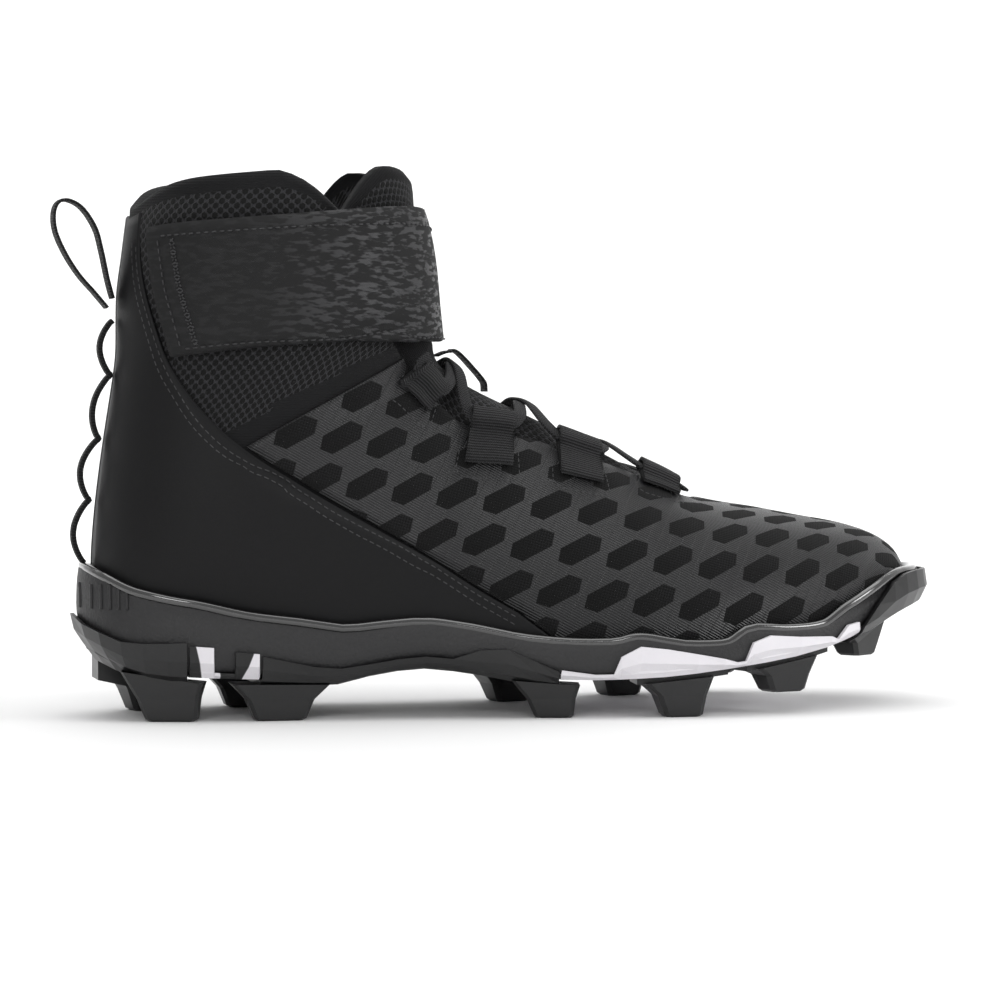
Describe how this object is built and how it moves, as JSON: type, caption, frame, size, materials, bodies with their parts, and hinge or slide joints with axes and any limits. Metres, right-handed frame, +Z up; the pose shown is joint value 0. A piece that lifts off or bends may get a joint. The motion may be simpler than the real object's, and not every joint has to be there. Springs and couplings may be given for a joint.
{
  "type": "american football cleat",
  "caption": "Mid-height american football cleat for the right foot, with lace loops, ankle strap, cupped midsole and moulded studs.",
  "frame": {"origin": "middle of the bounding box, on the plane of the stud feet", "axes": "+X to the toe, +Y to the inner side of the foot, +Z up"},
  "size_m": [0.307, 0.1082, 0.183],
  "materials": {
    "black_rubber": "satin",
    "white_plastic": "fine texture",
    "dark_foam": "matte with a glossy lip",
    "black_foam": "matte",
    "black_mesh": "matte",
    "black_synthetic": "smooth matte",
    "grey_film": "ripstop under a thin film",
    "black_webbing": "matte webbing"
  },
  "bodies": {
    "root": {"outsole_heel": "black_rubber", "outsole_shank": "black_rubber", "outsole_toe": "black_rubber", "outsole_ball_lateral": "black_rubber", "outsole_ball_medial": "black_rubber", "outsole_fore_lateral": "black_rubber", "outsole_fore_medial": "black_rubber", "plate": "white_plastic", "midsole": "dark_foam", "insole": "black_foam", "upper": "black_mesh", "heel_quarter": "black_synthetic", "vamp_overlay": "grey_film", "tongue": "black_mesh", "ankle_strap": "black_synthetic", "lace_loop_lateral_1": "black_webbing", "lace_loop_lateral_2": "black_webbing", "lace_loop_lateral_3": "black_webbing", "lace_loop_lateral_4": "black_webbing", "lace_loop_medial_1": "black_webbing", "lace_loop_medial_2": "black_webbing", "lace_loop_medial_3": "black_webbing", "lace_loop_medial_4": "black_webbing", "lace_bar": "black_webbing", "lace_crossing_1": "black_webbing", "lace_crossing_2": "black_webbing", "lace_crossing_3": "black_webbing", "tongue_ribbon": "black_webbing", "pull_loop": "black_webbing", "heel_cord": "black_webbing"}
  },
  "joints": []
}
